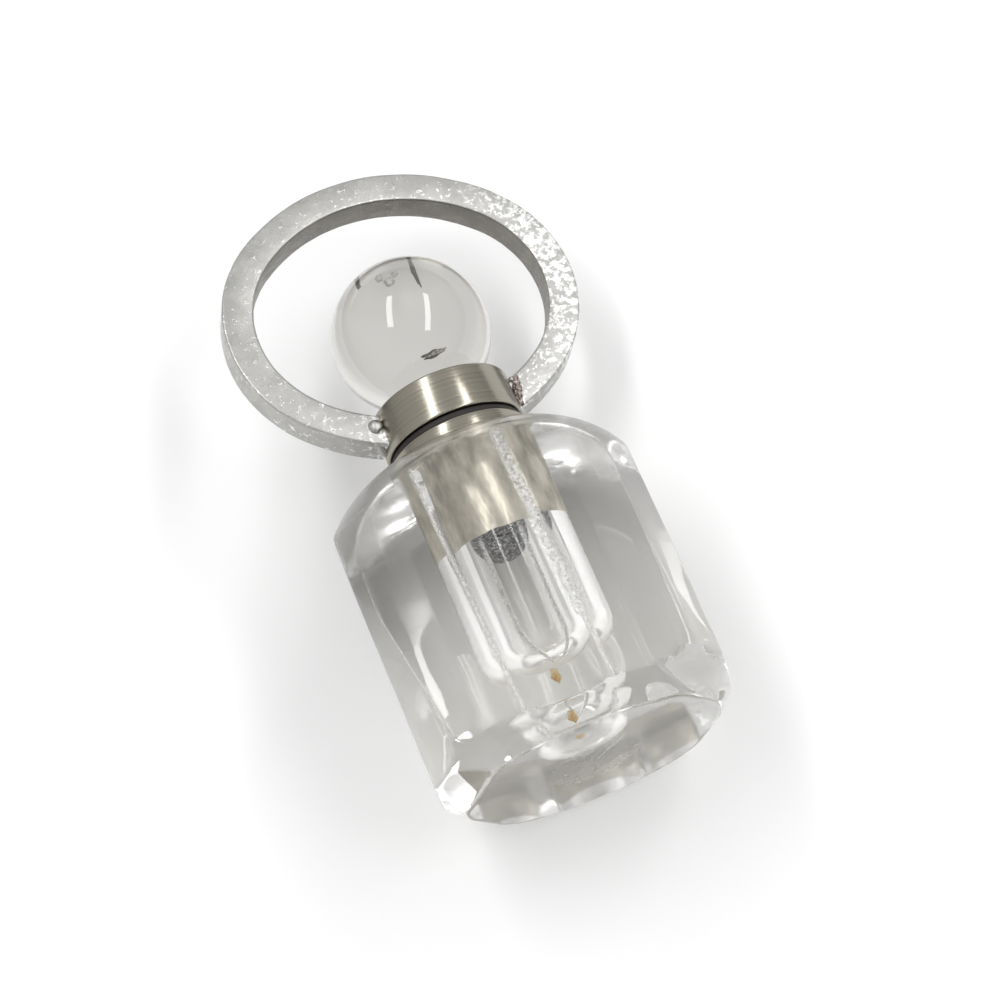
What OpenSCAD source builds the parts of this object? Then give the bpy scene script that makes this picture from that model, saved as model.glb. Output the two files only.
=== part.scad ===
// A small crystal scent bottle worn as a pendant. It lies on one of its facets.
// The bottle's axis runs along +Y, with the ring end towards +Y and the table at Z = 0.

/* [Bottle] */
// Distance between the facet that it lies on and the upper facet
bottle_flats = 21.8; // [18:0.1:30]
// Radius of the round blank that the facets are cut on
blank_r = 12.6; // [11:0.1:16]
// How far the blank's own axis lies to the left of the bottle's axis
blank_shift = 0.6; // [0:0.1:1]
// Length of the bottle from its base to the seat of the neck
bottle_len = 24.4; // [20:0.1:40]
// Height of the bevel that runs round the base
bevel_h = 1.4; // [0.6:0.1:2.5]
// How far the bevel runs in over the base below the upper facet
bevel_run = 2.15; // [0.6:0.05:3]
// Radius of the base where its corners are eased
base_corner_r = 9.5; // [8.6:0.1:14]
// Radius of the rounding of the shoulder
shoulder_r = 7.7; // [5:0.1:9]
// Radius of the flat seat under the neck
seat_r = 5.8; // [5.5:0.1:7]

/* [Cavity] */
// Radius of the drilled cavity
cavity_r = 3.4; // [2.9:0.05:4.5]
// Thickness of crystal left under the cavity
floor_t = 6.3; // [2:0.1:9]
// Radius of the rounding at the bottom of the cavity
cavity_round_r = 2.2; // [0.5:0.1:2.8]

/* [Neck] */
// Radius of the neck's flange
flange_r = 5.3; // [4.5:0.05:5.7]
// Height of the flange
flange_h = 1.55; // [0.8:0.05:3]
// Length of the sleeve inside the cavity
sleeve_len = 8; // [4:0.1:10]
// Gap between the sleeve and the cavity's wall
sleeve_clear = 0.08; // [0.03:0.01:0.15]
// Radius of the bore through the neck
neck_bore_r = 2.05; // [1.5:0.05:2.5]
// Gap kept between faces that bear on each other
face_clear = 0.03; // [0.01:0.01:0.08]

/* [Gasket] */
// Thickness of the gasket
gasket_t = 0.5; // [0.3:0.05:1]
// How far the gasket stands back from the flange's rim
gasket_inset = 0.22; // [0.05:0.01:0.6]
// Gap between the gasket's hole and the stud
gasket_clear = 0.35; // [0.1:0.05:0.8]

/* [Cap] */
// Radius of the cap's band
band_r = 5.3; // [4.5:0.05:5.7]
// Height of the band
band_h = 3.4; // [2.5:0.05:5]
// Bevel at the band's two rims
band_bevel = 0.18; // [0.05:0.01:0.4]
// How far the stud's end shows below the sleeve
stud_proud = 0.1; // [0:0.1:2]
// Radial gap between the stud and the neck's bore
stud_clear = 0.06; // [0.02:0.01:0.1]
// Radius of the peg that holds the ball
peg_r = 0.75; // [0.4:0.05:1.2]
// Length of the peg above the band
peg_len = 1.6; // [0.8:0.1:6]

/* [Ball] */
// Radius of the crystal ball
ball_r = 6; // [4:0.1:7]
// Gap between the peg and the hole in the ball
ball_hole_clear = 0.1; // [0.05:0.01:0.3]

/* [Ring] */
// Outer width of the oval ring, across the bottle's axis
ring_w = 27.3; // [24:0.1:34]
// Outer height of the oval ring, along the bottle's axis
ring_h = 23.5; // [21:0.1:30]
// How much less the radius of the narrow ends is than half the ring's height
ring_end_flat = 1.15; // [0.5:0.05:2.5]
// Width of the ring's flat face
ring_face_w = 2.35; // [1.5:0.05:3.5]
// Thickness of the ring
ring_t = 2.5; // [1.5:0.05:3.5]
// How far the oval's lowest point lies below the band's lower rim
ring_drop = 0.25; // [0:0.05:0.8]
// Angle by which the ring's plane is turned from the upper facet
ring_turn = 16; // [0:1:45]
// Radius of the larger solder bead
bead_r = 0.42; // [0.2:0.02:0.6]
// Radius of the smaller solder bead
small_bead_r = 0.28; // [0.15:0.01:0.5]
// Radius of the lump of solder at each end of the ring
solder_r = 1.5; // [1.3:0.05:1.7]

/* [Hidden] */
$fn = 96;
cut = 0.5;                                   // how far a cutting solid runs past what it cuts
half_flats = bottle_flats / 2;
block = 2 * bottle_len;                      // size of the cubes that cut the facets

// The facets, hand-cut and therefore not quite regular. TURN: angle from the upper facet towards
// the right. BASE_SHARE and NECK_SHARE: distance from the axis at the base and at the neck end, as
// shares of half_flats. RUN_SHARE: how far the base's bevel runs in, as a share of bevel_run.
TURN = 0;
BASE_SHARE = 1;
NECK_SHARE = 2;
RUN_SHARE = 3;
FACETS = [
    [0,     1.000, 1.000, 1.00],
    [24,    1.030, 0.997, 1.10],
    [66,    1.067, 1.067, 1.15],
    [90,    1.000, 1.000, 0.50],
    [114,   1.067, 1.067, 1.15],
    [159,   1.044, 1.044, 1.10],
    [180,   1.000, 1.000, 1.00],
    [201,   1.044, 1.044, 1.10],
    [246,   1.067, 1.067, 1.15],
    [270,   1.000, 1.000, 0.50],
    [294,   0.995, 1.290, 1.00],
    [339.5, 1.038, 1.076, 1.10]
];

shoulder_x = blank_r - shoulder_r;                   // centre of the shoulder's arc
shoulder_z = bottle_len - sqrt(pow(shoulder_r, 2) - pow(seat_r - shoulder_x, 2));
sleeve_r = cavity_r - sleeve_clear;
flange_z = bottle_len + face_clear;
gasket_z = flange_z + flange_h + face_clear;
gasket_r = flange_r - gasket_inset;
band_z = gasket_z + gasket_t + face_clear;
band_top = band_z + band_h;
stud_z = bottle_len - sleeve_len - stud_proud;       // the stud's lower end
stud_r = neck_bore_r - stud_clear;
ball_z = band_top + face_clear + ball_r;
half_w = ring_w / 2;
half_h = ring_h / 2;
ring_z = band_z - ring_drop + half_h;                // centre of the oval
ring_end_r = half_h - ring_end_flat;                 // radius of the narrow ends
side_r = (pow(half_w, 2) + pow(half_h, 2) - 2 * half_w * ring_end_r) / (2 * (half_h - ring_end_r));
end_x = half_w - ring_end_r;                         // centre of a narrow end's arc
side_z = side_r - half_h;                            // centre of a long side's arc
join_x = side_r * end_x / (side_r - ring_end_r);     // where the two arcs meet
weld_depth = 0.7;                                    // how far the ring runs into the band
total_len = ring_z + half_h;
ring_mid_x = sqrt(pow(band_r, 2) - pow(ring_t / 2, 2));
ring_mid_z = ring_z + side_z - sqrt(pow(side_r - ring_face_w / 2, 2) - pow(ring_mid_x, 2));

// Lays what is drawn upright down on its facet, with the whole part's middle at the origin
module lying() {
    translate([0, -total_len / 2, half_flats]) rotate([-90, 0, 0]) children();
}

// The round blank with its shoulder
module blank() {
    translate([-blank_shift, 0, 0]) rotate_extrude() intersection() {
        union() {
            square([blank_r, shoulder_z]);
            translate([shoulder_x, shoulder_z]) circle(shoulder_r);
        }
        square([blank_r + cut, bottle_len]);
    }
}

// The cone that eases the corners of the base
module base_form() {
    top_r = base_corner_r + bottle_len;
    rotate_extrude() polygon([[0, 0], [base_corner_r, 0], [top_r, bottle_len], [0, bottle_len]]);
}

// A cube whose near face stands dist from the axis at the base and leans outwards
module facet_cut(turn, dist, lean) {
    rotate([0, 0, turn - 90]) translate([dist, 0, 0]) rotate([0, lean, 0])
        translate([0, -block / 2, -block / 2]) cube([block, block, 2 * block]);
}

// Every facet and the bevel at its foot
module facet_cuts() {
    for (f = FACETS) {
        dist = f[BASE_SHARE] * half_flats;
        run = f[RUN_SHARE] * bevel_run;
        facet_cut(f[TURN], dist, atan((f[NECK_SHARE] * half_flats - dist) / bottle_len));
        facet_cut(f[TURN], dist - run, atan(run / bevel_h));
    }
}

// A straight bore with a rounded bottom
module cavity() {
    round_z = floor_t + cavity_round_r;
    flat_r = cavity_r - cavity_round_r;
    rotate_extrude() {
        translate([0, round_z]) square([cavity_r, bottle_len - round_z + cut]);
        translate([0, floor_t]) square([flat_r, cavity_round_r]);
        intersection() {
            translate([flat_r, round_z]) circle(cavity_round_r);
            translate([flat_r, floor_t]) square(cavity_round_r);
        }
    }
}

module bottle() {
    color([0.88, 0.9, 0.91, 0.4]) lying() difference() {
        intersection() {
            blank();
            base_form();
        }
        facet_cuts();
        cavity();
    }
}

module neck() {
    color([0.72, 0.68, 0.62]) lying() difference() {
        union() {
            translate([0, 0, flange_z]) cylinder(r = flange_r, h = flange_h);
            translate([0, 0, bottle_len - sleeve_len]) cylinder(r = sleeve_r, h = sleeve_len + face_clear);
        }
        translate([0, 0, bottle_len - sleeve_len - cut])
            cylinder(r = neck_bore_r, h = sleeve_len + flange_h + 2 * cut + face_clear);
    }
}

module gasket() {
    color([0.05, 0.05, 0.05]) lying() translate([0, 0, gasket_z]) difference() {
        cylinder(r = gasket_r, h = gasket_t);
        translate([0, 0, -cut]) cylinder(r = stud_r + gasket_clear, h = gasket_t + 2 * cut);
    }
}

// The oval of four arcs, each of them moved inwards by inset
module oval(inset) {
    big = side_r - inset;
    small = ring_end_r - inset;
    intersection() {
        translate([0, side_z]) circle(big);
        translate([0, -side_z]) circle(big);
        square([2 * join_x * big / side_r, ring_w], center = true);
    }
    for (side = [-1, 1]) translate([side * end_x, 0]) circle(small);
}

// The ring stands on edge in the XZ plane here, open where the cap's band fills it
module ring() {
    difference() {
        translate([0, ring_t / 2, ring_z]) rotate([90, 0, 0]) linear_extrude(ring_t) difference() {
            oval(0);
            oval(ring_face_w);
        }
        translate([0, 0, band_z - ring_h / 4]) cylinder(r = band_r - weld_depth, h = ring_h / 2);
    }
}

module band() {
    translate([0, 0, band_z]) rotate_extrude() polygon([
        [0, 0], [band_r - band_bevel, 0], [band_r, band_bevel],
        [band_r, band_h - band_bevel], [band_r - band_bevel, band_h], [0, band_h]
    ]);
}

module solder() {
    for (side = [-1, 1]) translate([side * ring_mid_x, 0, ring_mid_z]) sphere(solder_r);
    translate([-ring_mid_x - bead_r, -ring_t / 2, ring_mid_z + bead_r]) sphere(bead_r);
    translate([ring_mid_x + small_bead_r, -ring_t / 2, ring_mid_z + ring_face_w / 2]) sphere(small_bead_r);
}

module ring_cap() {
    color([0.78, 0.77, 0.76]) lying() {
        band();
        translate([0, 0, stud_z]) cylinder(r = stud_r, h = band_z + band_h / 2 - stud_z);
        translate([0, 0, band_top - band_h / 2]) cylinder(r = peg_r, h = peg_len + band_h / 2);
        rotate([0, 0, ring_turn]) {
            ring();
            solder();
        }
    }
}

module ball() {
    color([0.9, 0.91, 0.92, 0.4]) lying() translate([0, 0, ball_z]) difference() {
        sphere(ball_r);
        cylinder(r = peg_r + ball_hole_clear, h = 3 * ball_r, center = true);
    }
}

bottle();
neck();
gasket();
ring_cap();
ball();
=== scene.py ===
import math

import bmesh
import bpy
from mathutils import Matrix, Vector, noise


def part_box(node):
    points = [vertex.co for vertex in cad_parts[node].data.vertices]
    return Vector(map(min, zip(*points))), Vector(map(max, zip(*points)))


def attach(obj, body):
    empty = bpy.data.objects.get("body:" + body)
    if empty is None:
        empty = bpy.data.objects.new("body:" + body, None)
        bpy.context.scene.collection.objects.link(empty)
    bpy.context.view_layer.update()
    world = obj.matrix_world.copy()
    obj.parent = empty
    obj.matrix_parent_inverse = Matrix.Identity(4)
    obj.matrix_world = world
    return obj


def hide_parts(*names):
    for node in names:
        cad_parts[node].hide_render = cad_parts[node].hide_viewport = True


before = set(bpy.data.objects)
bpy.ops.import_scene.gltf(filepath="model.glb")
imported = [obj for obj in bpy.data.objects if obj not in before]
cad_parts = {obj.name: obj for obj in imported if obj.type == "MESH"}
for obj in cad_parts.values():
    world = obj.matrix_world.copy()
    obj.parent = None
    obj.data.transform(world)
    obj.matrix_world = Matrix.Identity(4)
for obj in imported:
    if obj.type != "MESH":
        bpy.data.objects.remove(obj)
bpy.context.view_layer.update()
MM = 0.001

# Driving places, in millimetres, worked out from the frame
BOTTLE_LOW, BOTTLE_HIGH = (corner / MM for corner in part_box("bottle"))
NECK_LOW, NECK_HIGH = (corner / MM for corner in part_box("neck"))
GASKET_LOW, GASKET_HIGH = (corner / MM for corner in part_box("gasket"))
CAP_LOW, CAP_HIGH = (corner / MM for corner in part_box("ring_cap"))

AXIS_Z = (BOTTLE_LOW.z + BOTTLE_HIGH.z) / 2
BASE_Y = BOTTLE_LOW.y
TOP_Y = BOTTLE_HIGH.y
HALF_FLATS = (BOTTLE_HIGH.z - BOTTLE_LOW.z) / 2
BLANK_R = 12.6
BLANK_SHIFT = 0.6
BEVEL_H = 1.4
BEVEL_RUN = 2.15
BASE_CORNER_R = 9.5
SHOULDER_R = 7.7
SEAT_R = 5.8
CAVITY_R = 3.4
CAVITY_ROUND = 2.2
CAVITY_Y = BASE_Y + 6.3
FACE_GAP = 0.03
EDGE_EASE = 0.06                              # how far the cavity's rim is eased
BASE_EASE = 0.16                              # and the base's edge, in steps up to this

# Facets: angle from the upper one towards +X in degrees, distance from the axis at the base and at
# the neck end as shares of HALF_FLATS, and the bevel's run over the base as a share of BEVEL_RUN
FACETS = [
    (0, 1.000, 1.000, 1.00),
    (24, 1.030, 0.997, 1.10),
    (66, 1.067, 1.067, 1.15),
    (90, 1.000, 1.000, 0.50),
    (114, 1.067, 1.067, 1.15),
    (159, 1.044, 1.044, 1.10),
    (180, 1.000, 1.000, 1.00),
    (201, 1.044, 1.044, 1.10),
    (246, 1.067, 1.067, 1.15),
    (270, 1.000, 1.000, 0.50),
    (294, 0.995, 1.290, 1.00),
    (339.5, 1.038, 1.076, 1.10),
]

SLEEVE_R = 3.32
NECK_BORE_R = 2.05
FLANGE_R = (NECK_HIGH.z - NECK_LOW.z) / 2
FLANGE_LOW_Y = TOP_Y + FACE_GAP
FLANGE_HIGH_Y = NECK_HIGH.y
SLEEVE_LOW_Y = NECK_LOW.y

# Worn facet edges: half width, and strength from 0 to 1. The right one is chipped above a height.
CHIPPED_EDGE = (0.3, 1.0)
CHIPPED_ABOVE = 7.0
RIGHT_EDGE = (0.12, 0.8)
LEFT_EDGE = (0.12, 0.7)
OTHER_EDGES = (0.09, 0.3)

# Ground lines on the cavity's wall: their angles in degrees, where they begin to close in, and how fast
LINE_LEFT, LINE_RIGHT = -24.7, 27.1
LINES_TURN_Y = BASE_Y + 9.395
LEFT_BEND, LEFT_POWER, RIGHT_BEND = 1.6, 2.2, 1.0
LINE_HALF_W = 0.13

# Ground and dull parts of the crystal, and the painted shade on its upper left, as places along its axis
# and across it
GROUND_HIGH_Y, GROUND_LOW_Y = SLEEVE_LOW_Y - 1.7, SLEEVE_LOW_Y - 4.0
DULL_LOW_Y, DULL_HIGH_Y = SLEEVE_LOW_Y, SLEEVE_LOW_Y + 4.0
DULL_NEAR_X, DULL_FAR_X = 3.5, 5.5
PAINTED_SHADE_LOW_Y, PAINTED_SHADE_HIGH_Y = SLEEVE_LOW_Y - 4.5, SLEEVE_LOW_Y
PAINTED_SHADE_NEAR_X, PAINTED_SHADE_FAR_X = -4.0, -7.0

# Roughness of the polished faces, what other parts add to it, and the transmission lost on chips
POLISHED_ROUGH, GROUND_ROUGH, DULL_ROUGH, BASE_ROUGH, CHIP_ROUGH = 0.015, 0.3, 0.26, 0.1, 0.6
CHIP_FROST = 0.7

INCLUSION_X, INCLUSION_H, INCLUSION_RISE = -0.3, 4.895, 2.9
BEAD_TURN = math.radians(57)                  # the bead of glue under the flange
BEAD_R = 5.25                                 # and how far it lies from the axis

GASKET_R = (GASKET_HIGH.z - GASKET_LOW.z) / 2
GASKET_HOLE_R = 2.34

BAND_R = 5.3
BAND_LOW_Y = GASKET_HIGH.y + FACE_GAP
BAND_HIGH_Y = BAND_LOW_Y + 3.4
STUD_R = 1.99
STUD_LOW_Y = CAP_LOW.y
PEG_R = 0.75
PEG_HIGH_Y = BAND_HIGH_Y + 1.6

BALL_R = 6.0
BALL_Y = BAND_HIGH_Y + FACE_GAP + BALL_R
BALL_HOLE_R = 0.85
BALL_HOLE_DEPTH = 0.6
HOLE_MOUTH_Y = BALL_Y + math.sqrt(BALL_R ** 2 - BALL_HOLE_R ** 2)
GRIME_R = 1.32                                # from the axis to the grime, outside the hole's own radius
GRIME_T = 0.03
SMEAR_PLACE = (0.88, 6.93, AXIS_Z + 4.14)

RING_W = 27.3
RING_H = 23.5
RING_END_R = 10.6
RING_FACE_W = 2.35
RING_T = 2.5
RING_TURN = math.radians(16)
RING_Y = CAP_HIGH.y - RING_H / 2
RING_WELD = 0.35                              # how far the ring's ends lie inside the band's side
RING_START_R = RING_W / 2 + 1.8               # a little over the side arc's radius, for the ends' angle
BAND_WEAR_AND_HIGHLIGHT_REACH = 1.8                         # how far from the band the ring gets more flecks, as wear and painted highlight
RIGHT_WEAR_AND_HIGHLIGHT_X, RIGHT_WEAR_AND_HIGHLIGHT_RUN = 5.0, 6.0       # where more flecks on the right begin, as wear and painted highlight, and over what they grow

QUARTZ_IOR = 1.544

# Where a piece belongs: its body, its material slot and the CAD node that it stands for
ON_BOTTLE = ("root", "crystal", "bottle")
ON_NECK = ("root", "neck_metal", "neck")
ON_GASKET = ("seal", "gasket_rubber", "gasket")
ON_CAP = ("stopper", "plated_metal", "ring_cap")
ON_BALL = ("stopper", "ball_crystal", "ball")


# Small helpers for meshes

def add_object(name, verts, faces, body, slot, node, sharp=30):
    """A mesh object from points in millimetres, on its body and standing for its node."""
    mesh = bpy.data.meshes.new(name)
    mesh.from_pydata([(x * MM, y * MM, z * MM) for x, y, z in verts], [], faces)
    bm = bmesh.new()
    bm.from_mesh(mesh)
    bmesh.ops.remove_doubles(bm, verts=bm.verts, dist=1e-7)
    bmesh.ops.recalc_face_normals(bm, faces=bm.faces)
    bm.to_mesh(mesh)
    bm.free()
    mesh.polygons.foreach_set("use_smooth", [True] * len(mesh.polygons))
    mesh.set_sharp_from_angle(angle=math.radians(sharp))
    piece = bpy.data.objects.new(name, mesh)
    bpy.context.scene.collection.objects.link(piece)
    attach(piece, body)
    if node:
        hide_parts(node)
    return piece


def grid_faces(rows, columns, closed_rows=False, closed_columns=True):
    """Quads over rows of points, each row a ring of columns when closed_columns is true."""
    faces = []
    for i in range(rows if closed_rows else rows - 1):
        for j in range(columns if closed_columns else columns - 1):
            k, m = (i + 1) % rows, (j + 1) % columns
            faces.append((i * columns + j, i * columns + m, k * columns + m, k * columns + j))
    return faces


def rounded(points, radius, steps=4, closed=True):
    """The outline with its corners rounded; points are (r, y) pairs."""
    out = []
    count = len(points)
    for i, p in enumerate(points):
        here = Vector(p)
        if not closed and i in (0, count - 1):
            out.append(tuple(here))
            continue
        before, after = Vector(points[i - 1]), Vector(points[(i + 1) % count])
        a, b = (before - here), (after - here)
        reach = min(radius, a.length * 0.45, b.length * 0.45)
        start, end = here + a.normalized() * reach, here + b.normalized() * reach
        for s in range(steps + 1):
            t = s / steps
            out.append(tuple((1 - t) ** 2 * start + 2 * t * (1 - t) * here + t * t * end))
    return out


def revolve(outline, turns=192, wobble=None):
    """Points of an (r, y) outline turned round the bottle's axis, and the number of turns."""
    verts = []
    for r, y in outline:
        for j in range(turns):
            a = 2 * math.pi * j / turns
            radius, along = (r, y) if wobble is None else wobble(r, y, a)
            verts.append((radius * math.sin(a), along, AXIS_Z + radius * math.cos(a)))
    return verts, turns


def lathe(name, outline, body, slot, node, closed=True, turns=192, wobble=None, sharp=30):
    verts, turns = revolve(outline, turns, wobble)
    faces = grid_faces(len(outline), turns, closed_rows=closed)
    return add_object(name, verts, faces, body, slot, node, sharp)


# Crystal bottle

def facet_distances(height):
    """For every facet at a height over the base, its angle and its distance from the axis."""
    out = []
    for turn, base, neck, run in FACETS:
        out.append((math.radians(turn), HALF_FLATS * (base + (neck - base) * height / (TOP_Y - BASE_Y))))
        if height < 2 * BEVEL_H:
            out.append((math.radians(turn), HALF_FLATS * base + run * BEVEL_RUN * (height / BEVEL_H - 1)))
    return out


def facet_distance(angle, height):
    """Distance from the axis to the many-sided outline, its edges eased a little."""
    ease = 350
    total = 0.0
    for turn, dist in facet_distances(height):
        c = math.cos(angle - turn)
        if c > 0:
            total += (c * HALF_FLATS / dist) ** ease
    return HALF_FLATS / total ** (1 / ease)


def blank_distance(angle, height):
    """Distance from the axis to the round blank, whose own axis lies a little to the left."""
    centre_r = BLANK_R - SHOULDER_R
    centre_height = TOP_Y - BASE_Y - math.sqrt(SHOULDER_R ** 2 - (SEAT_R - centre_r) ** 2)
    rise = max(height - centre_height, 0.0)
    radius = centre_r + math.sqrt(max(SHOULDER_R ** 2 - rise ** 2, 0.0))
    along = -BLANK_SHIFT * math.sin(angle)
    return along + math.sqrt(radius ** 2 - (BLANK_SHIFT * math.cos(angle)) ** 2)


def soft_min(values, width):
    """A smallest value that turns softly where two of them meet."""
    low = min(values)
    return low - width * math.log(sum(math.exp((low - v) / width) for v in values))


def outer_distance(angle, height):
    return soft_min([
        facet_distance(angle, height), blank_distance(angle, height), BASE_CORNER_R + height
    ], 0.035)


def corner_angle(first, second):
    """Angle round the axis at which two facets meet."""
    (a, p), (b, q) = first, second
    return math.atan2(q * math.cos(a) - p * math.cos(b), p * math.sin(b) - q * math.sin(a))


def facet_angles(height):
    """Angles round the axis, close together where two facets meet at a height over the base."""
    nearest = {}
    for turn, dist in facet_distances(height):
        nearest[turn] = min(dist, nearest.get(turn, dist))
    facets = sorted(nearest.items())
    count = len(facets)
    corners = []
    for i in range(count):
        corner = corner_angle(facets[i], facets[(i + 1) % count]) % (2 * math.pi)
        corners.append(max(corner, corners[-1] + 0.045) if corners else corner)
    offsets = [-0.02, -0.012, -0.008, -0.0045, -0.0015, 0.0015, 0.0045, 0.008, 0.012, 0.02]
    angles = []
    for k, corner in enumerate(corners):
        angles += [corner + d for d in offsets]
        following = corners[(k + 1) % count] + (2 * math.pi if k == count - 1 else 0)
        start, end = corner + offsets[-1], following + offsets[0]
        steps = 24
        angles += [start + (end - start) * s / steps for s in range(1, steps)]
    return angles


def bottle_rows():
    """Rows of (distance, height, angle) from the middle of the base, over the outside, into the cavity."""
    top = TOP_Y - BASE_Y
    heights = [0.10, 0.2, 0.3, 0.4, 0.52, 0.65, 0.78, 0.9, 1.0, 1.1, 1.18, 1.25]
    heights += [1.33, 1.38, 1.42, 1.47, 1.55, 1.7, 2.0, 2.5, 3.3]
    wall_low, wall_step, shoulder_low = 4.2, 0.75, 15.2
    heights += [wall_low + wall_step * k for k in range(15)]
    shoulder_rise = top - EDGE_EASE - shoulder_low
    heights += [shoulder_low + shoulder_rise * math.sin(math.pi / 2 * k / 44) for k in range(45)]
    low = [(outer_distance(a, heights[0]), a) for a in facet_angles(heights[0])]
    rows = [[(share * (r - BASE_EASE), 0.0, a) for r, a in low] for share in (0.0, 0.25, 0.5, 0.75, 0.97)]
    rows.append([(r - 0.75 * BASE_EASE, 0.0, a) for r, a in low])
    rows.append([(r - 0.25 * BASE_EASE, 0.03, a) for r, a in low])
    for height in heights:
        rows.append([(outer_distance(a, height), height, a) for a in facet_angles(height)])
    rim = [(r, a) for r, _, a in rows[-1]]
    for share in (0.03, 0.3, 0.7, 1.0):
        rows.append([(r + (CAVITY_R + EDGE_EASE - r) * share, top, a) for r, a in rim])
    straight_low = CAVITY_Y - BASE_Y + CAVITY_ROUND
    walls = [top - EDGE_EASE, top - 0.5] + [top + (straight_low - top) * k / 12 for k in range(1, 13)]
    rows += [[(CAVITY_R, height, a) for _, a in rim] for height in walls]
    for k in range(1, 13):
        turn = math.pi / 2 * k / 12
        r = CAVITY_R - CAVITY_ROUND + CAVITY_ROUND * math.cos(turn)
        rows.append([(r, straight_low - CAVITY_ROUND * math.sin(turn), a) for _, a in rim])
    floor_r = CAVITY_R - CAVITY_ROUND
    rows += [[(floor_r * share, straight_low - CAVITY_ROUND, a) for _, a in rim] for share in (0.5, 0.0)]
    return rows


def edge_wear(x, y, z):
    """How worn a point of the outside is: most on the upper edges between facets, 0 away from them."""
    height = y - BASE_Y
    nearest = {}
    for turn, dist in facet_distances(height):
        nearest[turn] = min(dist, nearest.get(turn, dist))
    facets = sorted(nearest.items())
    most = 0.0
    for i, first in enumerate(facets):
        corner = corner_angle(first, facets[(i + 1) % len(facets)])
        r = first[1] / max(math.cos(corner - first[0]), 0.1)
        gap = math.hypot(x - r * math.sin(corner), z - AXIS_Z - r * math.cos(corner))
        width, strength = OTHER_EDGES
        if i == 0:
            width, strength = CHIPPED_EDGE if height > CHIPPED_ABOVE else RIGHT_EDGE
        elif i == len(facets) - 1:
            width, strength = LEFT_EDGE
        if math.cos(corner) > 0:
            most = max(most, strength * math.exp(-(gap / width) ** 2))
    return most


def bore_wear(x, y, z):
    """The same on the cavity's wall, for the two ground lines that meet in its rounded bottom."""
    turn = math.degrees(math.atan2(x, z - AXIS_Z))
    if abs(turn) > 60 or y > SLEEVE_LOW_Y:
        return 0.0
    dip = max(LINES_TURN_Y - y, 0.0)
    left = LINE_LEFT + LEFT_BEND * dip ** LEFT_POWER
    right = LINE_RIGHT + RIGHT_BEND * dip
    gap = math.radians(min(abs(turn - left), abs(turn - right))) * CAVITY_R
    return math.exp(-(gap / LINE_HALF_W) ** 2)


def make_bottle():
    rows = bottle_rows()
    verts = []
    for row in rows:
        for r, height, a in row:
            verts.append((r * math.sin(a), BASE_Y + height, AXIS_Z + r * math.cos(a)))
    faces = grid_faces(len(rows), len(rows[0]))
    piece = add_object("bottle_crystal", verts, faces, *ON_BOTTLE, sharp=28)
    wear = piece.data.attributes.new("wear", "FLOAT", "POINT")
    values = []
    for v in piece.data.vertices:
        x, y, z = v.co / MM
        bore = math.hypot(x, z - AXIS_Z) < CAVITY_R + 0.02
        values.append(bore_wear(x, y, z) if bore else edge_wear(x, y, z))
    wear.data.foreach_set("value", values)
    return piece


def make_inclusion():
    """A small yellow-brown inclusion between the cavity and the base."""
    place = (INCLUSION_X, BASE_Y + INCLUSION_H, AXIS_Z + INCLUSION_RISE)
    return lump("inclusion", place, (0.3, 0.5, 0.35), 2.6, 0.5, *ON_BOTTLE)


def make_glue_bead():
    """A bead of glue between the flange and the crystal's shoulder."""
    place = (BEAD_R * math.sin(BEAD_TURN), FLANGE_LOW_Y - 0.02, AXIS_Z + BEAD_R * math.cos(BEAD_TURN))
    return lump("glue_bead", place, (0.75, 0.5, 0.6), 6.1, 0.25, *ON_BOTTLE)


# Neck, gasket and band

def make_neck():
    outline = rounded([
        (NECK_BORE_R, SLEEVE_LOW_Y), (SLEEVE_R, SLEEVE_LOW_Y), (SLEEVE_R, FLANGE_LOW_Y),
        (FLANGE_R, FLANGE_LOW_Y), (FLANGE_R, FLANGE_HIGH_Y), (NECK_BORE_R, FLANGE_HIGH_Y)
    ], 0.14)
    return lathe("neck_turned", outline, *ON_NECK)


def make_film():
    """The film of glue round the sleeve: it wets the crystal, so it reaches a hair into its wall."""
    reach = 0.03
    outline = [
        (SLEEVE_R + 0.01, SLEEVE_LOW_Y), (CAVITY_R + reach, SLEEVE_LOW_Y + 0.02),
        (CAVITY_R + reach, TOP_Y - 0.04), (SLEEVE_R + 0.01, TOP_Y - 0.04)
    ]

    def uneven(r, y, a):
        low = 1.0 if y < SLEEVE_LOW_Y + 0.5 else 0.0
        return r, y + low * 0.16 * noise.noise(Vector((2.2 * math.sin(a), 2.2 * math.cos(a), 4.0)))
    return lathe("sleeve_film", outline, *ON_NECK, wobble=uneven)


def make_grit():
    """Dark grit and old glue on the sleeve's end face."""
    low, high = SLEEVE_LOW_Y - 0.03, SLEEVE_LOW_Y + 0.1
    start, end = NECK_BORE_R + 0.02, SLEEVE_R + 0.05
    outline = [(start, high)]
    outline += [(start + (end - NECK_BORE_R) * k / 9, low) for k in range(10)]
    outline += [(SLEEVE_R + 0.07, high)]

    def uneven(r, y, a):
        push = noise.noise(Vector((2.5 * r * math.sin(a), 2.5 * r * math.cos(a), 5.0)))
        return r, y + (0.05 * push if y < SLEEVE_LOW_Y else 0)
    return lathe("sleeve_grit", outline, *ON_NECK, wobble=uneven)


def make_gasket():
    outline = rounded([
        (GASKET_HOLE_R, GASKET_LOW.y), (GASKET_R, GASKET_LOW.y),
        (GASKET_R, GASKET_HIGH.y), (GASKET_HOLE_R, GASKET_HIGH.y)
    ], 0.16)
    return lathe("gasket_washer", outline, *ON_GASKET)


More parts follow.
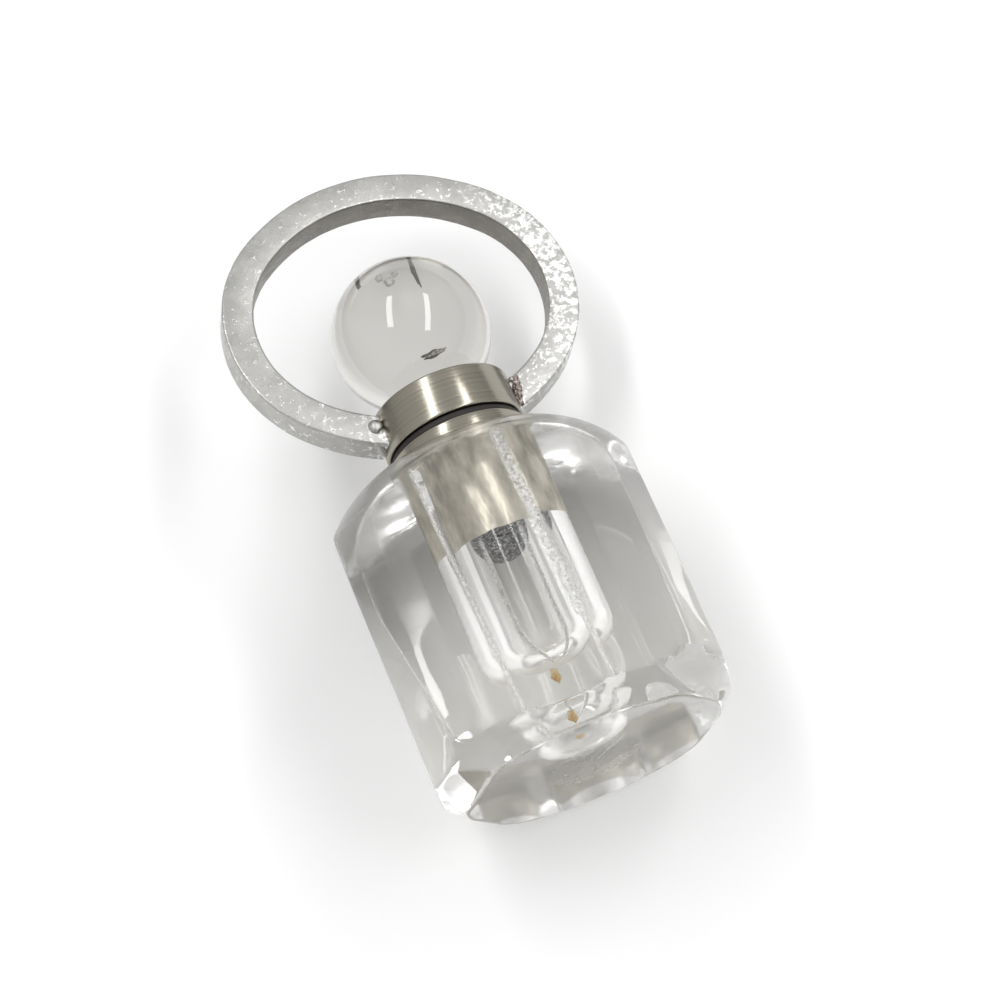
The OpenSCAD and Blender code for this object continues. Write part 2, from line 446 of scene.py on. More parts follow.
def make_stud():
    """The cap's stud inside the neck, threaded at its lower end."""
    low, thread_low = STUD_LOW_Y + 0.05, STUD_LOW_Y + 0.15
    turns, pitch, depth = 5, 0.26, 0.10
    outline = [(0.0, low), (STUD_R - 2 * depth, low)]
    for k in range(turns):
        y = thread_low + pitch * k
        outline += [(STUD_R, y), (STUD_R - depth, y + pitch / 2)]
    high = BAND_LOW_Y + 0.2
    outline += [(STUD_R, thread_low + pitch * turns), (STUD_R, high), (0.0, high)]
    return lathe("cap_stud", outline, *ON_CAP, closed=False)


def make_stud_end():
    """The stud's rough dark end."""
    low, high, r = STUD_LOW_Y, STUD_LOW_Y + 0.1, STUD_R - 0.03
    outline = [(0.0, low), (r / 2, low), (r - 0.05, low), (r, low + 0.05), (r, high), (0.0, high)]
    return lathe("stud_end", outline, *ON_CAP, closed=False)


def make_band():
    outline = [(0.0, BAND_LOW_Y)]
    outline += rounded([
        (STUD_R, BAND_LOW_Y), (BAND_R, BAND_LOW_Y),
        (BAND_R, BAND_HIGH_Y), (PEG_R, BAND_HIGH_Y), (PEG_R, BAND_HIGH_Y + 0.3)
    ], 0.16, closed=False)
    outline += [(PEG_R, PEG_HIGH_Y - 0.1), (PEG_R - 0.1, PEG_HIGH_Y), (0.0, PEG_HIGH_Y)]
    return lathe("cap_band", outline, *ON_CAP, closed=False)


def make_ball():
    """The ball, with its hole open only at the outer end, as glue fills the rest."""
    start = math.asin(BALL_HOLE_R / BALL_R)
    outline = []
    steps = 96
    for k in range(steps + 1):
        t = (math.pi - start) * k / steps
        outline.append((BALL_R * math.sin(t), BALL_Y - BALL_R * math.cos(t)))
    mouth = outline[-1][1]
    for k in range(1, 11):
        outline.append((BALL_HOLE_R, mouth - BALL_HOLE_DEPTH * k / 10))
    outline.append((0.0, mouth - BALL_HOLE_DEPTH - 0.1))
    return lathe("ball_crystal", outline, *ON_BALL, closed=False, turns=256)


def shell_faces(rows, columns):
    """Faces of a thin closed shell: a grid of points, the same grid behind it, and the rim between them."""
    count = rows * columns
    front = grid_faces(rows, columns, closed_columns=False)
    back = [tuple(reversed([v + count for v in face])) for face in front]
    last_row = count - columns
    rim = [*range(columns - 1), *range(columns - 1, count - 1, columns)]
    rim += [*range(count - 1, last_row, -1), *range(last_row, 0, -columns)]
    sides = []
    for k, first in enumerate(rim):
        second = rim[(k + 1) % len(rim)]
        sides.append((first, second, second + count, first + count))
    return front + back + sides


def make_hole_grime():
    """Dark grime inside the ball on two sides of the filled hole, as thin strips along it."""
    rows, columns = 13, 9
    made = []
    for name, turn, length in (("hole_grime_right", 90, 3.7), ("hole_grime_left", -90, 2.75)):
        verts = []
        for r in (GRIME_R, GRIME_R - GRIME_T):
            for row in range(rows):
                along = HOLE_MOUTH_Y - 0.06 - length * row / (rows - 1)
                reach = 21 + 8 * noise.noise(Vector((row * 0.7, turn, 1.5)))
                for k in range(columns):
                    a = math.radians(turn + reach * (2 * k / (columns - 1) - 1))
                    verts.append((r * math.sin(a), along, AXIS_Z + r * math.cos(a)))
        made.append(add_object(name, verts, shell_faces(rows, columns), *ON_BALL))
    return made


def make_hole_specks():
    """White bits in the glue of the filled hole: sideways place, depth below the mouth and size."""
    made = []
    for k, (x, depth, size) in enumerate([(-0.3, 2.8, 0.17), (0.05, 3.15, 0.22), (0.4, 2.9, 0.14)]):
        place = (x, HOLE_MOUTH_Y - depth, AXIS_Z + 0.45)
        name = f"hole_speck_{k + 1}"
        made.append(lump(name, place, (size, size, size * 0.7), 1.9 * k, 0.5, *ON_BALL, 3))
    return made


def make_foot_smear():
    """A dark smear of glue at the ball's foot, above the band."""
    return lump("foot_smear", SMEAR_PLACE, (0.85, 0.24, 0.16), 3.3, 0.6, *ON_BALL)


# Oval ring, drawn flat as (sideways, along) round its own centre

def oval_arcs():
    half_w, half_h = RING_W / 2, RING_H / 2
    side_r = (half_w ** 2 + half_h ** 2 - 2 * half_w * RING_END_R) / (2 * (half_h - RING_END_R))
    end_x = half_w - RING_END_R
    side_y = side_r - half_h
    return side_r, end_x, side_y


def oval_point(turn):
    """Point and outward direction of the oval at an angle of its outward direction from +sideways."""
    side_r, end_x, side_y = oval_arcs()
    join = math.atan2(side_y, end_x)
    direction = Vector((math.cos(turn), math.sin(turn)))
    c, s = abs(direction.x), abs(direction.y)
    if math.atan2(s, c) <= join:
        centre = Vector((math.copysign(end_x, direction.x), 0))
        return centre + direction * RING_END_R, direction
    centre = Vector((0, -math.copysign(side_y, direction.y)))
    return centre + direction * side_r, direction


def ring_place(sideways, along, out):
    """From the ring's own plane to the row frame, in millimetres."""
    x = sideways * math.cos(RING_TURN) + out * math.sin(RING_TURN)
    z = -sideways * math.sin(RING_TURN) + out * math.cos(RING_TURN)
    return (x, RING_Y + along, AXIS_Z + z)


def make_ring():
    """A rounded bar that follows the oval from one side of the band to the other."""
    section = rounded([
        (0, -RING_T / 2), (0, RING_T / 2), (-RING_FACE_W, RING_T / 2), (-RING_FACE_W, -RING_T / 2)
    ], 0.2, steps=4)
    start = -math.pi / 2 + math.asin((BAND_R - RING_WELD) / RING_START_R)
    end = math.pi * 3 / 2 - (start + math.pi / 2)
    steps = 420
    verts = []
    for i in range(steps + 1):
        turn = start + (end - start) * i / steps
        point, direction = oval_point(turn)
        for depth, out in section:
            p = point + direction * depth
            seed = Vector((p.x * 0.35, p.y * 0.35, out * 0.5 + 7.3))
            swell = 0.035 * noise.noise(seed) + 0.012 * noise.noise(seed * 4.1)
            q = p + direction * swell * (1 if depth > -RING_FACE_W / 2 else -1)
            verts.append(ring_place(q.x, q.y, out * (1 - 0.010 + 0.012 * noise.noise(seed * 2.3))))
    count = len(section)
    faces = grid_faces(steps + 1, count)
    faces.append(tuple(range(count)))
    faces.append(tuple(reversed(range(steps * count, (steps + 1) * count))))
    piece = add_object("oval_ring", verts, faces, *ON_CAP, sharp=40)
    mark_ring(piece)
    return piece


def mark_ring(piece):
    """Marks the ring's inner wall, whose colour gets painted shade, and how many white flecks each place
    gets: wear all over, more near the band and on the right, where they also stand in as painted highlight.
    """
    walls, worn = [], []
    for v in piece.data.vertices:
        x, y, z = v.co / MM
        sideways = x * math.cos(RING_TURN) - (z - AXIS_Z) * math.sin(RING_TURN)
        out = x * math.sin(RING_TURN) + (z - AXIS_Z) * math.cos(RING_TURN)
        middle = RING_FACE_W / 2
        share = math.hypot(sideways / (RING_W / 2 - middle), (y - RING_Y) / (RING_H / 2 - middle))
        # The inner wall is marked for painted shade in the plate's colour.
        wall = share < 1 and abs(out) < RING_T / 2 - 0.1
        # More flecks near the band and on the right: wear, and painted highlight.
        near_band = max(0.0, 1 - max(abs(sideways) - BAND_R, 0) / BAND_WEAR_AND_HIGHLIGHT_REACH) if y < RING_Y else 0.0
        right = max(0.0, min(1.0, (sideways - RIGHT_WEAR_AND_HIGHLIGHT_X) / RIGHT_WEAR_AND_HIGHLIGHT_RUN))
        walls.append(1.0 if wall else 0.0)
        worn.append(-1.0 if wall else max(near_band, 0.9 * right, 0.2))
    piece.data.attributes.new("wall", "FLOAT", "POINT").data.foreach_set("value", walls)
    piece.data.attributes.new("worn", "FLOAT", "POINT").data.foreach_set("value", worn)


def lump(name, centre, size, seed, roughness, body, slot, node, detail=4):
    """A small blob of solder or glue: an icosphere pushed about by noise."""
    bm = bmesh.new()
    bmesh.ops.create_icosphere(bm, subdivisions=detail, radius=1.0)
    verts = []
    for v in bm.verts:
        push = 1 + roughness * noise.noise(v.co * 1.7 + Vector((seed, 0, 0)))
        push += roughness * 0.4 * noise.noise(v.co * 4.0 + Vector((0, seed, 0)))
        verts.append(tuple(centre[k] + v.co[k] * size[k] * push for k in range(3)))
    faces = [tuple(v.index for v in f.verts) for f in bm.faces]
    bm.free()
    return add_object(name, verts, faces, body, slot, node, sharp=180)


def ring_end_middle():
    """Middle of the ring's right end, where it meets the band: sideways and along in the ring's plane."""
    side_r, _, side_y = oval_arcs()
    sideways = math.sqrt(BAND_R ** 2 - (RING_T / 2) ** 2)
    return sideways, side_y - math.sqrt((side_r - RING_FACE_W / 2) ** 2 - sideways ** 2)


def make_seam():
    """Rough, darkened solder over the ring's right end: sideways and along from its middle, and size."""
    mid_x, mid_y = ring_end_middle()
    spots = [(0.15, -0.75, 0.34), (0.28, -0.25, 0.30), (0.36, 0.30, 0.36)]
    spots += [(0.52, 0.85, 0.28), (0.62, 1.25, 0.22)]
    made = []
    for k, (sideways, along, size) in enumerate(spots):
        place = ring_place(mid_x + sideways, mid_y + along, RING_T / 2)
        name = f"solder_seam_{k + 1}"
        made.append(lump(name, place, (size, size * 1.2, size), 2.7 * k, 0.45, *ON_CAP))
    return made


def make_solder():
    """Solder at both ends of the ring, with a bright bead on top of each."""
    mid_x, mid_y = ring_end_middle()
    top = RING_T / 2
    lumps = [
        ("solder_left", (-mid_x - 0.1, mid_y, 0), (0.95, 1.35, 1.28), 3.1, 0.16),
        ("solder_right", (mid_x + 0.1, mid_y, 0), (0.9, 1.3, 1.3), 8.4, 0.22),
        ("solder_bead_left", (-mid_x - 0.50, mid_y + 0.38, top), (0.55, 0.55, 0.42), 1.2, 0.06),
        ("solder_bead_right", (mid_x + 0.28, mid_y + 1.17, top), (0.24, 0.24, 0.24), 5.7, 0.1),
    ]
    made = []
    for name, place, size, seed, rough in lumps:
        made.append(lump(name, ring_place(*place), size, seed, rough, *ON_CAP))
    return made


# Materials

def new_material(name):
    material = bpy.data.materials.new(name)
    material.use_nodes = True
    nodes = material.node_tree.nodes
    return material, nodes, material.node_tree.links, nodes["Principled BSDF"]


def node(nodes, kind, inputs=None, **settings):
    made = nodes.new(kind)
    for key, value in settings.items():
        setattr(made, key, value)
    for key, value in (inputs or {}).items():
        made.inputs[key].default_value = value
    return made


def ramp(nodes, links, source, stops):
    """A colour ramp over a value; stops are (position, grey or colour)."""
    made = nodes.new("ShaderNodeValToRGB")
    elements = made.color_ramp.elements
    while len(elements) < len(stops):
        elements.new(0.5)
    for element, (position, value) in zip(elements, stops):
        element.position = position
        element.color = (value, value, value, 1) if isinstance(value, (int, float)) else (*value, 1)
    links.new(source, made.inputs["Fac"])
    return made.outputs["Color"]


def object_place(nodes, links, scale=(1, 1, 1)):
    """Object coordinates in millimetres, stretched by scale."""
    place = node(nodes, "ShaderNodeTexCoord")
    mapping = node(nodes, "ShaderNodeMapping", {"Scale": tuple(s / MM for s in scale)})
    links.new(place.outputs["Object"], mapping.inputs["Vector"])
    return mapping.outputs["Vector"]


def combine(nodes, links, operation, *values):
    """A math node over sockets and plain numbers."""
    made = node(nodes, "ShaderNodeMath", operation=operation)
    for k, value in enumerate(values):
        if isinstance(value, (int, float)):
            made.inputs[k].default_value = value
        else:
            links.new(value, made.inputs[k])
    return made.outputs[0]


def rising(nodes, links, value, start, end, most=1.0):
    """From 0 where the value is at start to most where it is at end."""
    made = node(nodes, "ShaderNodeMapRange", {"From Min": start, "From Max": end, "To Max": most})
    links.new(value, made.inputs["Value"])
    return made.outputs[0]


def ground_share(nodes, links, split):
    """1 on the ground wall in the lower part of the cavity, 0 elsewhere."""
    lift = combine(nodes, links, "SUBTRACT", split.outputs["Z"], AXIS_Z)
    across = combine(nodes, links, "POWER", split.outputs["X"], 2.0)
    total = combine(nodes, links, "ADD", across, combine(nodes, links, "POWER", lift, 2.0))
    inside = combine(nodes, links, "LESS_THAN", total, (CAVITY_R + 0.05) ** 2)
    deep = rising(nodes, links, split.outputs["Y"], GROUND_HIGH_Y, GROUND_LOW_Y)
    return combine(nodes, links, "MULTIPLY", inside, deep)


def chipped_share(nodes, links, place):
    """Where a worn edge is chipped: the mesh's wear broken up by small noise."""
    wear = node(nodes, "ShaderNodeAttribute", attribute_name="wear")
    chips = node(nodes, "ShaderNodeTexNoise", {"Scale": 4.0, "Detail": 5.0, "Roughness": 0.7})
    links.new(place, chips.inputs["Vector"])
    broken = ramp(nodes, links, chips.outputs["Fac"], [(0.40, 0.0), (0.52, 1.0)])
    return combine(nodes, links, "MULTIPLY", wear.outputs["Fac"], broken)


def crystal_roughness(nodes, links, split, chipped):
    """Rough in the ground cavity and on chips, dull on the shoulder's sides and a little on the base."""
    streaks = node(nodes, "ShaderNodeTexNoise", {"Scale": 1.0, "Detail": 4.0})
    links.new(object_place(nodes, links, (0.7, 0.25, 0.7)), streaks.inputs["Vector"])
    silky = combine(nodes, links, "MULTIPLY", streaks.outputs["Fac"], GROUND_ROUGH)
    ground = combine(nodes, links, "MULTIPLY", silky, ground_share(nodes, links, split))
    aside = combine(nodes, links, "ABSOLUTE", split.outputs["X"])
    sides = rising(nodes, links, aside, DULL_NEAR_X, DULL_FAR_X)
    neck_end = rising(nodes, links, split.outputs["Y"], DULL_LOW_Y, DULL_HIGH_Y)
    shoulder = combine(nodes, links, "MULTIPLY", sides, neck_end)
    dull = combine(nodes, links, "MULTIPLY_ADD", shoulder, DULL_ROUGH, POLISHED_ROUGH)
    base = rising(nodes, links, split.outputs["Y"], BASE_Y + 0.06, BASE_Y, BASE_ROUGH)
    polished = combine(nodes, links, "ADD", dull, base)
    unworn = combine(nodes, links, "ADD", ground, polished)
    return combine(nodes, links, "MULTIPLY_ADD", chipped, CHIP_ROUGH, unworn)


def crystal_normal(nodes, links, place, chipped):
    """Soft unevenness all over, and nicks where an edge is chipped."""
    ripple = node(nodes, "ShaderNodeTexNoise", {"Scale": 0.22, "Detail": 1.0})
    links.new(place, ripple.inputs["Vector"])
    soft = node(nodes, "ShaderNodeBump", {"Strength": 0.12, "Distance": 0.3 * MM})
    links.new(ripple.outputs["Fac"], soft.inputs["Height"])
    nicks = node(nodes, "ShaderNodeBump", {"Strength": 0.9, "Distance": 0.08 * MM})
    links.new(chipped, nicks.inputs["Height"])
    links.new(soft.outputs["Normal"], nicks.inputs["Normal"])
    return nicks.outputs["Normal"]


def crystal_tint_and_painted_shade(nodes, links, split):
    """Pale cream near the base, greyer towards the neck as painted shade, and painted shade that darkens
    the upper left.
    """
    along = rising(nodes, links, split.outputs["Y"], BASE_Y, TOP_Y)
    # Cream near the base is the crystal's own tint; the grey towards the neck is painted shade.
    cream_and_painted_shade = ramp(nodes, links, along, [
        (0.06, (0.97, 0.965, 0.94)), (0.16, (0.985, 0.965, 0.90)), (0.26, (0.975, 0.97, 0.95)),
        (0.6, (0.92, 0.915, 0.90)), (0.85, (0.76, 0.755, 0.745)), (1.0, (0.88, 0.875, 0.86))])
    # Painted shade: the upper left, near the neck end, is multiplied darker.
    leftward = rising(nodes, links, split.outputs["X"], PAINTED_SHADE_NEAR_X, PAINTED_SHADE_FAR_X)
    upper = rising(nodes, links, split.outputs["Y"], PAINTED_SHADE_LOW_Y, PAINTED_SHADE_HIGH_Y)
    painted_shade = node(nodes, "ShaderNodeMix", data_type="RGBA", blend_type="MULTIPLY")
    painted_shade.inputs["B"].default_value = (0.58, 0.57, 0.555, 1)
    links.new(combine(nodes, links, "MULTIPLY", leftward, upper), painted_shade.inputs["Factor"])
    links.new(cream_and_painted_shade, painted_shade.inputs["A"])
    return painted_shade.outputs["Result"]


def crystal_material():
    """Clear quartz, polished outside, ground inside the lower cavity, frosted where its edges are worn."""
    material, nodes, links, shader = new_material("clear_quartz")
    shader.inputs["IOR"].default_value = QUARTZ_IOR
    place = object_place(nodes, links)
    split = node(nodes, "ShaderNodeSeparateXYZ")
    links.new(place, split.inputs[0])
    chipped = chipped_share(nodes, links, place)
    frost = combine(nodes, links, "MULTIPLY_ADD", chipped, -CHIP_FROST, 1.0)
    links.new(frost, shader.inputs["Transmission Weight"])
    links.new(crystal_roughness(nodes, links, split, chipped), shader.inputs["Roughness"])
    links.new(crystal_normal(nodes, links, place, chipped), shader.inputs["Normal"])
    links.new(crystal_tint_and_painted_shade(nodes, links, split), shader.inputs["Base Color"])
    return material


def inclusion_material():
    material, nodes, links, shader = new_material("yellow_inclusion")
    grain = node(nodes, "ShaderNodeTexNoise", {"Scale": 2.0, "Detail": 3.0})
    links.new(object_place(nodes, links), grain.inputs["Vector"])
    colour = ramp(nodes, links, grain.outputs["Fac"], [
        (0.4, (0.95, 0.84, 0.58)), (0.62, (0.80, 0.55, 0.20))])
    links.new(colour, shader.inputs["Base Color"])
    shader.inputs["Roughness"].default_value = 0.6
    shader.inputs["Transmission Weight"].default_value = 0.3
    return material


def glue_material():
    material, nodes, links, shader = new_material("clear_glue")
    cloud = node(nodes, "ShaderNodeTexNoise", {"Scale": 1.5, "Detail": 2.0})
    links.new(object_place(nodes, links), cloud.inputs["Vector"])
    colour = ramp(nodes, links, cloud.outputs["Fac"], [
        (0.35, (0.90, 0.90, 0.86)), (0.7, (0.97, 0.97, 0.94))])
    links.new(colour, shader.inputs["Base Color"])
    shader.inputs["Roughness"].default_value = 0.25
    shader.inputs["Transmission Weight"].default_value = 0.12
    return material


def ball_material():
    material, nodes, links, shader = new_material("ball_quartz")
    shader.inputs["Base Color"].default_value = (0.76, 0.745, 0.715, 1)
    shader.inputs["Transmission Weight"].default_value = 1.0
    shader.inputs["IOR"].default_value = QUARTZ_IOR
    haze = node(nodes, "ShaderNodeTexNoise", {"Scale": 0.5, "Detail": 3.0})
    links.new(object_place(nodes, links), haze.inputs["Vector"])
    rough = ramp(nodes, links, haze.outputs["Fac"], [(0.3, 0.01), (0.8, 0.05)])
    links.new(rough, shader.inputs["Roughness"])
    return material


def plated_material():
    """Plate worn dull, with white flecks that grow thicker near the band and on the right as wear and
    painted highlight, painted shade on the inner wall, and bright solder where it meets the band.
    """
    material, nodes, links, shader = new_material("plate_wear_and_painted_light")
    shader.inputs["Metallic"].default_value = 1.0
    place = object_place(nodes, links)
    cloud = node(nodes, "ShaderNodeTexNoise", {"Scale": 0.55, "Detail": 5.0, "Roughness": 0.6})
    links.new(place, cloud.inputs["Vector"])
    colour = ramp(nodes, links, cloud.outputs["Fac"], [
        (0.35, (0.40, 0.395, 0.38)), (0.7, (0.50, 0.495, 0.475))])
    # Painted shade: the inner wall's colour is multiplied darker.
    wall = node(nodes, "ShaderNodeAttribute", attribute_name="wall")
    dark = node(nodes, "ShaderNodeMix", data_type="RGBA", blend_type="MULTIPLY")
    dark.inputs["B"].default_value = (0.62, 0.60, 0.575, 1)
    links.new(wall.outputs["Fac"], dark.inputs["Factor"])
    links.new(colour, dark.inputs["A"])
    flecks = node(nodes, "ShaderNodeTexNoise", {"Scale": 2.3, "Detail": 6.0, "Roughness": 0.75})
    links.new(place, flecks.inputs["Vector"])
    # The fleck level rises near the band and on the right: wear, and painted highlight.
    worn = node(nodes, "ShaderNodeAttribute", attribute_name="worn")
    level = node(nodes, "ShaderNodeMath", operation="MULTIPLY_ADD", inputs={1: 0.17})
    links.new(worn.outputs["Fac"], level.inputs[0])
    links.new(flecks.outputs["Fac"], level.inputs[2])
    fleck = ramp(nodes, links, level.outputs[0], [(0.62, 0.0), (0.70, 1.0)])
    mixed = node(nodes, "ShaderNodeMix", data_type="RGBA")
    mixed.inputs["B"].default_value = (0.92, 0.915, 0.90, 1)
    links.new(fleck, mixed.inputs["Factor"])
    links.new(dark.outputs["Result"], mixed.inputs["A"])
    links.new(mixed.outputs["Result"], shader.inputs["Base Color"])
    rough = ramp(nodes, links, flecks.outputs["Fac"], [(0.3, 0.5), (0.5, 0.38), (0.64, 0.22)])
    links.new(rough, shader.inputs["Roughness"])
    bump = node(nodes, "ShaderNodeBump", {"Strength": 0.5, "Distance": 0.05 * MM})
    links.new(flecks.outputs["Fac"], bump.inputs["Height"])
    links.new(bump.outputs["Normal"], shader.inputs["Normal"])
    return material


def turned_material():
    """Turned nickel plate: warm grey with fine rings round the axis."""
    material, nodes, links, shader = new_material("turned_nickel")
    shader.inputs["Metallic"].default_value = 1.0
    rings = node(nodes, "ShaderNodeTexNoise", {"Scale": 1.0, "Detail": 3.0})
    links.new(object_place(nodes, links, (0.05, 9.0, 0.05)), rings.inputs["Vector"])
    colour = ramp(nodes, links, rings.outputs["Fac"], [
        (0.3, (0.285, 0.267, 0.22)), (0.7, (0.335, 0.317, 0.265))])
    links.new(colour, shader.inputs["Base Color"])
    rough = ramp(nodes, links, rings.outputs["Fac"], [(0.3, 0.16), (0.7, 0.26)])
    links.new(rough, shader.inputs["Roughness"])
    bump = node(nodes, "ShaderNodeBump", {"Strength": 0.2, "Distance": 0.02 * MM})
    links.new(rings.outputs["Fac"], bump.inputs["Height"])
    links.new(bump.outputs["Normal"], shader.inputs["Normal"])
    return material


def film_material():
    """Glued metal seen through the crystal: warm grey-brown with glassy blotches."""
    material, nodes, links, shader = new_material("glued_metal")
    shader.inputs["Metallic"].default_value = 0.85
    place = object_place(nodes, links, (1.0, 0.45, 1.0))
    cloud = node(nodes, "ShaderNodeTexNoise", {"Scale": 0.8, "Detail": 3.0, "Roughness": 0.55})
    links.new(place, cloud.inputs["Vector"])
    colour = ramp(nodes, links, cloud.outputs["Fac"], [
        (0.35, (0.42, 0.40, 0.335)), (0.66, (0.76, 0.72, 0.62))])
    links.new(colour, shader.inputs["Base Color"])
    rough = ramp(nodes, links, cloud.outputs["Fac"], [(0.35, 0.44), (0.7, 0.28)])
    links.new(rough, shader.inputs["Roughness"])
    bump = node(nodes, "ShaderNodeBump", {"Strength": 0.6, "Distance": 0.12 * MM})
    links.new(cloud.outputs["Fac"], bump.inputs["Height"])
    links.new(bump.outputs["Normal"], shader.inputs["Normal"])
    return material


def grain_material():
    """The stud's rough dark end."""
    material, nodes, links, shader = new_material("rough_stud")
    shader.inputs["Metallic"].default_value = 0.6
    shader.inputs["Roughness"].default_value = 0.45
    grain = node(nodes, "ShaderNodeTexNoise", {"Scale": 4.0, "Detail": 4.0, "Roughness": 0.7})
    links.new(object_place(nodes, links), grain.inputs["Vector"])
    colour = ramp(nodes, links, grain.outputs["Fac"], [(0.42, 0.03), (0.52, 0.14), (0.62, 0.8)])
    links.new(colour, shader.inputs["Base Color"])
    bump = node(nodes, "ShaderNodeBump", {"Strength": 0.8, "Distance": 0.08 * MM})
    links.new(grain.outputs["Fac"], bump.inputs["Height"])
    links.new(bump.outputs["Normal"], shader.inputs["Normal"])
    return material


def grime_material():
    material, nodes, links, shader = new_material("dark_grime")
    grain = node(nodes, "ShaderNodeTexNoise", {"Scale": 5.0, "Detail": 4.0})
    links.new(object_place(nodes, links), grain.inputs["Vector"])
    colour = ramp(nodes, links, grain.outputs["Fac"], [
        (0.35, (0.13, 0.12, 0.11)), (0.65, (0.32, 0.30, 0.28))])
    links.new(colour, shader.inputs["Base Color"])
    shader.inputs["Roughness"].default_value = 0.6
    return material


def seam_material():
    """Solder darkened to a brownish pink."""
    material, nodes, links, shader = new_material("dark_solder")
    shader.inputs["Metallic"].default_value = 0.9
    grain = node(nodes, "ShaderNodeTexNoise", {"Scale": 4.0, "Detail": 4.0})
    links.new(object_place(nodes, links), grain.inputs["Vector"])
    colour = ramp(nodes, links, grain.outputs["Fac"], [
        (0.38, (0.16, 0.125, 0.11)), (0.62, (0.55, 0.48, 0.44))])
    links.new(colour, shader.inputs["Base Color"])
    shader.inputs["Roughness"].default_value = 0.35
    return material


def rubber_material():
    material, nodes, links, shader = new_material("black_rubber")
    grain = node(nodes, "ShaderNodeTexNoise", {"Scale": 6.0, "Detail": 4.0})
    links.new(object_place(nodes, links), grain.inputs["Vector"])
    colour = ramp(nodes, links, grain.outputs["Fac"], [
        (0.3, (0.008, 0.006, 0.005)), (0.7, (0.02, 0.016, 0.013))])
    links.new(colour, shader.inputs["Base Color"])
    rough = ramp(nodes, links, grain.outputs["Fac"], [(0.3, 0.5), (0.7, 0.7)])
    links.new(rough, shader.inputs["Roughness"])
    return material


# Camera, floor and light

IMAGE_W = 1000
FOCAL_PX = 2500
VIEW_AZ, VIEW_EL, VIEW_ROLL = math.radians(-5.5), math.radians(67.0), math.radians(-17.5)
VIEW_OFFSET = Vector((3.2, -4.3, 183.5))     # from the aim to the eye: right, up and back, in millimetres
AIM = Vector((0, BAND_LOW_Y, AXIS_Z))
LIGHT_H = 0.5                                # height of the lights in metres


def make_camera():
    level_back = Vector((math.sin(VIEW_AZ), -math.cos(VIEW_AZ), 0))
    back = math.cos(VIEW_EL) * level_back + math.sin(VIEW_EL) * Vector((0, 0, 1))
    level = Vector((math.cos(VIEW_AZ), math.sin(VIEW_AZ), 0))
    rise = back.cross(level)
    right = math.cos(VIEW_ROLL) * level + math.sin(VIEW_ROLL) * rise
    up = back.cross(right)
    eye = AIM + right * VIEW_OFFSET.x + up * VIEW_OFFSET.y + back * VIEW_OFFSET.z
    data = bpy.data.cameras.new("camera")
    data.sensor_width = 36
    data.lens = data.sensor_width * FOCAL_PX / IMAGE_W
    data.clip_start, data.clip_end = 0.005, 5
    camera = bpy.data.objects.new("camera", data)
    bpy.context.scene.collection.objects.link(camera)
    camera.matrix_world = Matrix.Translation(eye * MM) @ Matrix((right, up, back)).transposed().to_4x4()
    bpy.context.scene.camera = camera


def make_floor():
    """A pale floor a hair below the object, so that its lowest facet doesn't lie in the same plane."""
    half, z = 1.2, -0.02 * MM
    mesh = bpy.data.meshes.new("floor")
    corners = [(-half, -half, z), (half, -half, z), (half, half, z), (-half, half, z)]
    mesh.from_pydata(corners, [], [(0, 1, 2, 3)])
    floor = bpy.data.objects.new("floor", mesh)
    bpy.context.scene.collection.objects.link(floor)
    material, nodes, links, shader = new_material("pale_floor")
    shader.inputs["Base Color"].default_value = (0.95, 0.95, 0.95, 1)
    shader.inputs["Roughness"].default_value = 0.8
    shader.inputs["Specular IOR Level"].default_value = 0.1
    mesh.materials.append(material)


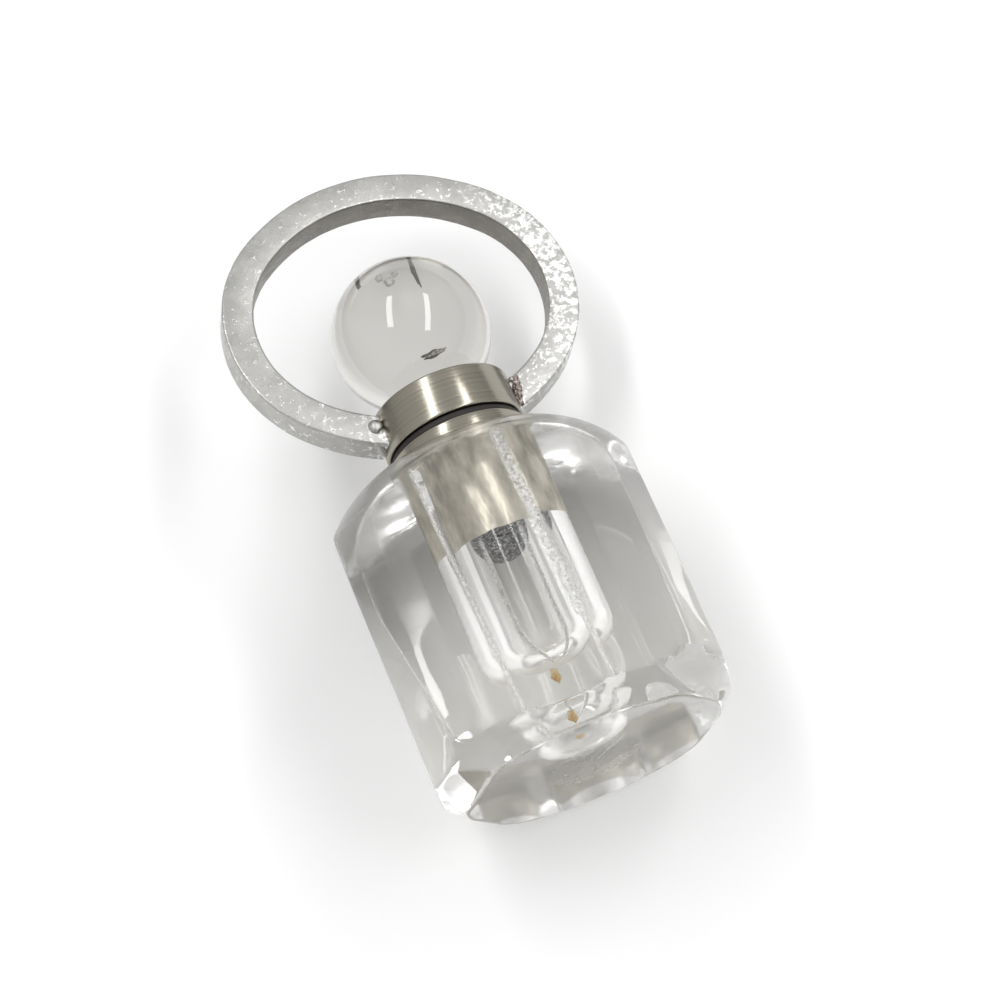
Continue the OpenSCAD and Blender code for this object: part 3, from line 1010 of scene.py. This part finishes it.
def strip_light(name, start, end, width, radiance):
    """A long soft light between two places, in metres, that faces the floor."""
    start, end = Vector(start), Vector(end)
    along = (end - start).normalized()
    out = Vector((0, 0, 1))
    across = along.cross(out).normalized()
    data = bpy.data.lights.new(name, "AREA")
    data.shape = "RECTANGLE"
    data.size, data.size_y = width, (end - start).length
    data.energy = radiance * math.pi * data.size * data.size_y
    light = bpy.data.objects.new(name, data)
    bpy.context.scene.collection.objects.link(light)
    turn = Matrix((across, along, across.cross(along))).transposed().to_4x4()
    light.matrix_world = Matrix.Translation((start + end) / 2) @ turn
    return light


def make_light():
    world = bpy.data.worlds.new("world")
    bpy.context.scene.world = world
    world.use_nodes = True
    nodes, links = world.node_tree.nodes, world.node_tree.links
    place = node(nodes, "ShaderNodeTexCoord")
    split = node(nodes, "ShaderNodeSeparateXYZ")
    links.new(place.outputs["Generated"], split.inputs[0])
    glow = ramp(nodes, links, split.outputs["Z"], [(0.0, 0.42), (0.25, 0.58), (0.6, 0.68), (1.0, 0.68)])
    links.new(glow, nodes["Background"].inputs["Color"])
    nodes["Background"].inputs["Strength"].default_value = 1.0
    strip_light("left_strip", (-0.20, -0.02, LIGHT_H), (-0.07, 0.43, LIGHT_H), 0.08, 7.0)
    strip_light("right_strip", (0.235, -0.256, LIGHT_H), (0.425, 0.32, LIGHT_H), 0.09, 7.0)


make_camera()
make_floor()
make_light()

pieces = {
    "crystal": [make_bottle()],
    "ball": [make_ball()],
    "nickel": [make_neck(), make_band(), make_stud()],
    "film": [make_film()],
    "grain": [make_stud_end(), make_grit()],
    "inclusion": [make_inclusion()],
    "glue": [make_glue_bead(), *make_hole_specks()],
    "rubber": [make_gasket()],
    "plate": [make_ring(), *make_solder()],
    "seam": make_seam(),
    "grime": [*make_hole_grime(), make_foot_smear()],
}
finishes = {
    "crystal": crystal_material(),
    "ball": ball_material(),
    "nickel": turned_material(),
    "film": film_material(),
    "grain": grain_material(),
    "inclusion": inclusion_material(),
    "glue": glue_material(),
    "rubber": rubber_material(),
    "plate": plated_material(),
    "seam": seam_material(),
    "grime": grime_material(),
}
for kind, members in pieces.items():
    for piece in members:
        piece.data.materials.clear()
        piece.data.materials.append(finishes[kind])

scene = bpy.context.scene
scene.view_settings.view_transform = "Standard"
scene.view_settings.exposure = 0.12
scene.cycles.max_bounces = 24
scene.cycles.transmission_bounces = 20
scene.cycles.glossy_bounces = 12
